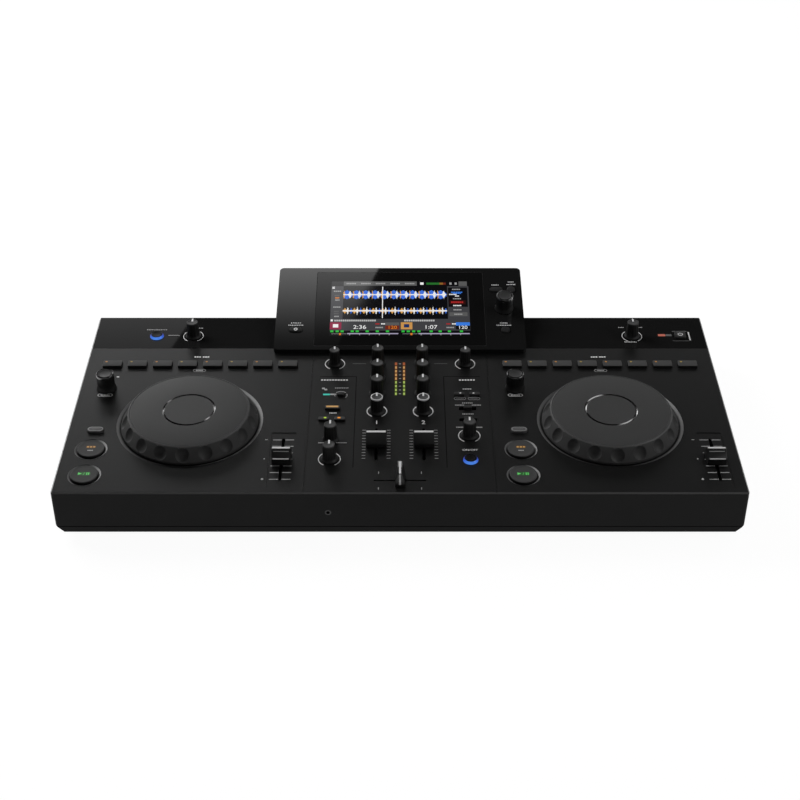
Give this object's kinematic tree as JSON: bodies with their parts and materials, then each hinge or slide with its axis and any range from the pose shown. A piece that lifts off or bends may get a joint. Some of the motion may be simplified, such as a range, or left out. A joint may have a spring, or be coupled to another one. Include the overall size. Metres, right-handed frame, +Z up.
{
  "type": "all-in-one dj system",
  "caption": "Flat DJ console with jog-wheel decks, a central mixer with faders and knobs, pad rows, and a raised touch screen that overhangs the rear.",
  "frame": {"origin": "on the floor under the middle of the overall outline", "axes": "+X to the user's right along the width, +Y to the back, +Z up"},
  "size_m": [0.665, 0.368, 0.0919],
  "materials": {
    "case_plastic": "fine moulded texture, matt black",
    "panel_paint": "fine matt charcoal",
    "gloss_trim": "polished black",
    "screen_glass": "dark touch glass over a display",
    "jog_plastic": "matt grey",
    "pad_rubber": "silky matt grey",
    "fader_plastic": "matt black with a white index line",
    "knob_plastic": "soft-touch black with a white pointer",
    "encoder_plastic": "matt black with a glossy rim",
    "key_plastic": "matt dark grey",
    "board": "green solder mask",
    "steel": "zinc-plated",
    "socket_plastic": "black moulded",
    "foot_rubber": "matt rubber"
  },
  "bodies": {
    "console": {"bottom_case": "case_plastic", "top_panel": "panel_paint", "rear_strip": "gloss_trim", "screen_housing": "case_plastic", "screen_bezel": "gloss_trim", "touch_display": "screen_glass", "main_board": "board", "control_bodies": "socket_plastic", "sockets": "socket_plastic", "feet": "foot_rubber", "case_screws": "steel", "jog_spindles": "steel"},
    "jog_wheel_left": {"jog_wheel_left": "jog_plastic"},
    "jog_wheel_right": {"jog_wheel_right": "jog_plastic"},
    "pad_row_left": {"pad_row_left": "pad_rubber"},
    "pad_row_right": {"pad_row_right": "pad_rubber"},
    "tempo_slider_left": {"tempo_slider_left": "fader_plastic"},
    "tempo_slider_right": {"tempo_slider_right": "fader_plastic"},
    "channel_fader_1": {"channel_fader_1": "fader_plastic"},
    "channel_fader_2": {"channel_fader_2": "fader_plastic"},
    "crossfader": {"crossfader": "fader_plastic"},
    "trim_knob_1": {"trim_knob_1": "knob_plastic"},
    "trim_knob_2": {"trim_knob_2": "knob_plastic"},
    "high_knob_1": {"high_knob_1": "knob_plastic"},
    "high_knob_2": {"high_knob_2": "knob_plastic"},
    "mid_knob_1": {"mid_knob_1": "knob_plastic"},
    "mid_knob_2": {"mid_knob_2": "knob_plastic"},
    "low_knob_1": {"low_knob_1": "knob_plastic"},
    "low_knob_2": {"low_knob_2": "knob_plastic"},
    "filter_knob_1": {"filter_knob_1": "knob_plastic"},
    "filter_knob_2": {"filter_knob_2": "knob_plastic"},
    "phones_mix_knob": {"phones_mix_knob": "knob_plastic"},
    "phones_level_knob": {"phones_level_knob": "knob_plastic"},
    "effect_level_knob": {"effect_level_knob": "knob_plastic"},
    "mic_level_knob": {"mic_level_knob": "knob_plastic"},
    "master_level_knob": {"master_level_knob": "knob_plastic"},
    "deck_encoder_left": {"deck_encoder_left": "encoder_plastic"},
    "deck_encoder_right": {"deck_encoder_right": "encoder_plastic"},
    "browse_encoder": {"browse_encoder": "encoder_plastic"},
    "play_key_left": {"play_key_left": "key_plastic"},
    "play_key_right": {"play_key_right": "key_plastic"},
    "cue_key_left": {"cue_key_left": "key_plastic"},
    "cue_key_right": {"cue_key_right": "key_plastic"},
    "shift_key_left": {"shift_key_left": "key_plastic"},
    "shift_key_right": {"shift_key_right": "key_plastic"},
    "link_key": {"link_key": "key_plastic"},
    "master_cue_key": {"master_cue_key": "key_plastic"},
    "phones_cue_key_1": {"phones_cue_key_1": "key_plastic"},
    "phones_cue_key_2": {"phones_cue_key_2": "key_plastic"},
    "beat_down_key": {"beat_down_key": "key_plastic"},
    "beat_up_key": {"beat_up_key": "key_plastic"},
    "effect_key": {"effect_key": "key_plastic"},
    "mic_key": {"mic_key": "key_plastic"},
    "power_key": {"power_key": "key_plastic"},
    "settings_key": {"settings_key": "key_plastic"},
    "back_key": {"back_key": "key_plastic"},
    "tag_key": {"tag_key": "key_plastic"},
    "deck_key": {"deck_key": "key_plastic"},
    "effect_select_switch": {"effect_select_switch": "key_plastic"},
    "effect_channel_switch": {"effect_channel_switch": "key_plastic"}
  },
  "joints": [
    {"name": "turn_jog_wheel_left", "type": "hinge", "parent": "console", "child": "jog_wheel_left", "pos_m": [-0.21165, -0.07098, 0.061], "axis": [0, 0, 1], "continuous": true},
    {"name": "turn_jog_wheel_right", "type": "hinge", "parent": "console", "child": "jog_wheel_right", "pos_m": [0.21165, -0.07098, 0.061], "axis": [0, 0, 1], "continuous": true},
    {"name": "press_pad_row_left", "type": "slide", "parent": "console", "child": "pad_row_left", "axis": [0, 0, -1], "range_m": [0, 0.0008], "stiffness_N_per_m": 900, "springref_m": -0.0015},
    {"name": "press_pad_row_right", "type": "slide", "parent": "console", "child": "pad_row_right", "axis": [0, 0, -1], "range_m": [0, 0.0008], "stiffness_N_per_m": 900, "springref_m": -0.0015},
    {"name": "slide_tempo_slider_left", "type": "slide", "parent": "console", "child": "tempo_slider_left", "axis": [0, 1, 0], "range_m": [-0.03001, 0.03001]},
    {"name": "slide_tempo_slider_right", "type": "slide", "parent": "console", "child": "tempo_slider_right", "axis": [0, 1, 0], "range_m": [-0.03001, 0.03001]},
    {"name": "slide_channel_fader_1", "type": "slide", "parent": "console", "child": "channel_fader_1", "axis": [0, 1, 0], "range_m": [-0.0225, 0.0225]},
    {"name": "slide_channel_fader_2", "type": "slide", "parent": "console", "child": "channel_fader_2", "axis": [0, 1, 0], "range_m": [-0.0225, 0.0225]},
    {"name": "slide_crossfader", "type": "slide", "parent": "console", "child": "crossfader", "axis": [1, 0, 0], "range_m": [-0.0225, 0.0225]},
    {"name": "turn_trim_knob_1", "type": "hinge", "parent": "console", "child": "trim_knob_1", "pos_m": [-0.069, 0.03101, 0.061], "axis": [0, 0, 1], "range_deg": [-150, 150]},
    {"name": "turn_trim_knob_2", "type": "hinge", "parent": "console", "child": "trim_knob_2", "pos_m": [0.069, 0.03101, 0.061], "axis": [0, 0, 1], "range_deg": [-150, 150]},
    {"name": "turn_high_knob_1", "type": "hinge", "parent": "console", "child": "high_knob_1", "pos_m": [-0.0235, 0.03262, 0.061], "axis": [0, 0, 1], "range_deg": [-150, 150]},
    {"name": "turn_high_knob_2", "type": "hinge", "parent": "console", "child": "high_knob_2", "pos_m": [0.0235, 0.03262, 0.061], "axis": [0, 0, 1], "range_deg": [-150, 150]},
    {"name": "turn_mid_knob_1", "type": "hinge", "parent": "console", "child": "mid_knob_1", "pos_m": [-0.0235, 0.00502, 0.061], "axis": [0, 0, 1], "range_deg": [-150, 150]},
    {"name": "turn_mid_knob_2", "type": "hinge", "parent": "console", "child": "mid_knob_2", "pos_m": [0.0235, 0.00502, 0.061], "axis": [0, 0, 1], "range_deg": [-150, 150]},
    {"name": "turn_low_knob_1", "type": "hinge", "parent": "console", "child": "low_knob_1", "pos_m": [-0.0235, -0.02257, 0.061], "axis": [0, 0, 1], "range_deg": [-150, 150]},
    {"name": "turn_low_knob_2", "type": "hinge", "parent": "console", "child": "low_knob_2", "pos_m": [0.0235, -0.02257, 0.061], "axis": [0, 0, 1], "range_deg": [-150, 150]},
    {"name": "turn_filter_knob_1", "type": "hinge", "parent": "console", "child": "filter_knob_1", "pos_m": [-0.0235, -0.05339, 0.061], "axis": [0, 0, 1], "range_deg": [-150, 150]},
    {"name": "turn_filter_knob_2", "type": "hinge", "parent": "console", "child": "filter_knob_2", "pos_m": [0.0235, -0.05339, 0.061], "axis": [0, 0, 1], "range_deg": [-150, 150]},
    {"name": "turn_phones_mix_knob", "type": "hinge", "parent": "console", "child": "phones_mix_knob", "pos_m": [-0.069, -0.09967, 0.061], "axis": [0, 0, 1], "range_deg": [-150, 150]},
    {"name": "turn_phones_level_knob", "type": "hinge", "parent": "console", "child": "phones_level_knob", "pos_m": [-0.069, -0.13198, 0.061], "axis": [0, 0, 1], "range_deg": [-150, 150]},
    {"name": "turn_effect_level_knob", "type": "hinge", "parent": "console", "child": "effect_level_knob", "pos_m": [0.069, -0.09438, 0.061], "axis": [0, 0, 1], "range_deg": [-150, 150]},
    {"name": "turn_mic_level_knob", "type": "hinge", "parent": "console", "child": "mic_level_knob", "pos_m": [-0.225, 0.08402, 0.061], "axis": [0, 0, 1], "range_deg": [-150, 150]},
    {"name": "turn_master_level_knob", "type": "hinge", "parent": "console", "child": "master_level_knob", "pos_m": [0.2525, 0.08402, 0.061], "axis": [0, 0, 1], "range_deg": [-150, 150]},
    {"name": "turn_deck_encoder_left", "type": "hinge", "parent": "console", "child": "deck_encoder_left", "pos_m": [-0.3043, -0.01398, 0.061], "axis": [0, 0, 1], "continuous": true},
    {"name": "turn_deck_encoder_right", "type": "hinge", "parent": "console", "child": "deck_encoder_right", "pos_m": [0.119, -0.01398, 0.061], "axis": [0, 0, 1], "continuous": true},
    {"name": "turn_browse_encoder", "type": "hinge", "parent": "console", "child": "browse_encoder", "pos_m": [0.1144, 0.11581, 0.07132], "axis": [0, -0.1564, 0.9877], "continuous": true},
    {"name": "press_play_key_left", "type": "slide", "parent": "console", "child": "play_key_left", "axis": [0, 0, -1], "range_m": [0, 0.0008], "stiffness_N_per_m": 400, "springref_m": -0.0015},
    {"name": "press_play_key_right", "type": "slide", "parent": "console", "child": "play_key_right", "axis": [0, 0, -1], "range_m": [0, 0.0008], "stiffness_N_per_m": 400, "springref_m": -0.0015},
    {"name": "press_cue_key_left", "type": "slide", "parent": "console", "child": "cue_key_left", "axis": [0, 0, -1], "range_m": [0, 0.0008], "stiffness_N_per_m": 400, "springref_m": -0.0015},
    {"name": "press_cue_key_right", "type": "slide", "parent": "console", "child": "cue_key_right", "axis": [0, 0, -1], "range_m": [0, 0.0008], "stiffness_N_per_m": 400, "springref_m": -0.0015},
    {"name": "press_shift_key_left", "type": "slide", "parent": "console", "child": "shift_key_left", "axis": [0, 0, -1], "range_m": [0, 0.0008], "stiffness_N_per_m": 400, "springref_m": -0.0015},
    {"name": "press_shift_key_right", "type": "slide", "parent": "console", "child": "shift_key_right", "axis": [0, 0, -1], "range_m": [0, 0.0008], "stiffness_N_per_m": 400, "springref_m": -0.0015},
    {"name": "press_link_key", "type": "slide", "parent": "console", "child": "link_key", "axis": [0, 0, -1], "range_m": [0, 0.0008], "stiffness_N_per_m": 400, "springref_m": -0.0015},
    {"name": "press_master_cue_key", "type": "slide", "parent": "console", "child": "master_cue_key", "axis": [0, 0, -1], "range_m": [0, 0.0008], "stiffness_N_per_m": 400, "springref_m": -0.0015},
    {"name": "press_phones_cue_key_1", "type": "slide", "parent": "console", "child": "phones_cue_key_1", "axis": [0, 0, -1], "range_m": [0, 0.0008], "stiffness_N_per_m": 400, "springref_m": -0.0015},
    {"name": "press_phones_cue_key_2", "type": "slide", "parent": "console", "child": "phones_cue_key_2", "axis": [0, 0, -1], "range_m": [0, 0.0008], "stiffness_N_per_m": 400, "springref_m": -0.0015},
    {"name": "press_beat_down_key", "type": "slide", "parent": "console", "child": "beat_down_key", "axis": [0, 0, -1], "range_m": [0, 0.0008], "stiffness_N_per_m": 400, "springref_m": -0.0015},
    {"name": "press_beat_up_key", "type": "slide", "parent": "console", "child": "beat_up_key", "axis": [0, 0, -1], "range_m": [0, 0.0008], "stiffness_N_per_m": 400, "springref_m": -0.0015},
    {"name": "press_effect_key", "type": "slide", "parent": "console", "child": "effect_key", "axis": [0, 0, -1], "range_m": [0, 0.0008], "stiffness_N_per_m": 400, "springref_m": -0.0015},
    {"name": "press_mic_key", "type": "slide", "parent": "console", "child": "mic_key", "axis": [0, 0, -1], "range_m": [0, 0.0008], "stiffness_N_per_m": 400, "springref_m": -0.0015},
    {"name": "press_power_key", "type": "slide", "parent": "console", "child": "power_key", "axis": [0, 0, -1], "range_m": [0, 0.0008], "stiffness_N_per_m": 400, "springref_m": -0.0015},
    {"name": "press_settings_key", "type": "slide", "parent": "console", "child": "settings_key", "axis": [0, 0.1564, -0.9877], "range_m": [0, 0.0008], "stiffness_N_per_m": 400, "springref_m": -0.0015},
    {"name": "press_back_key", "type": "slide", "parent": "console", "child": "back_key", "axis": [0, 0.1564, -0.9877], "range_m": [0, 0.0008], "stiffness_N_per_m": 400, "springref_m": -0.0015},
    {"name": "press_tag_key", "type": "slide", "parent": "console", "child": "tag_key", "axis": [0, 0.1564, -0.9877], "range_m": [0, 0.0008], "stiffness_N_per_m": 400, "springref_m": -0.0015},
    {"name": "press_deck_key", "type": "slide", "parent": "console", "child": "deck_key", "axis": [0, 0.1564, -0.9877], "range_m": [0, 0.0008], "stiffness_N_per_m": 400, "springref_m": -0.0015},
    {"name": "slide_effect_select_switch", "type": "slide", "parent": "console", "child": "effect_select_switch", "axis": [1, 0, 0], "range_m": [-0.0046, 0.0046]},
    {"name": "slide_effect_channel_switch", "type": "slide", "parent": "console", "child": "effect_channel_switch", "axis": [1, 0, 0], "range_m": [-0.0046, 0.0046]}
  ]
}
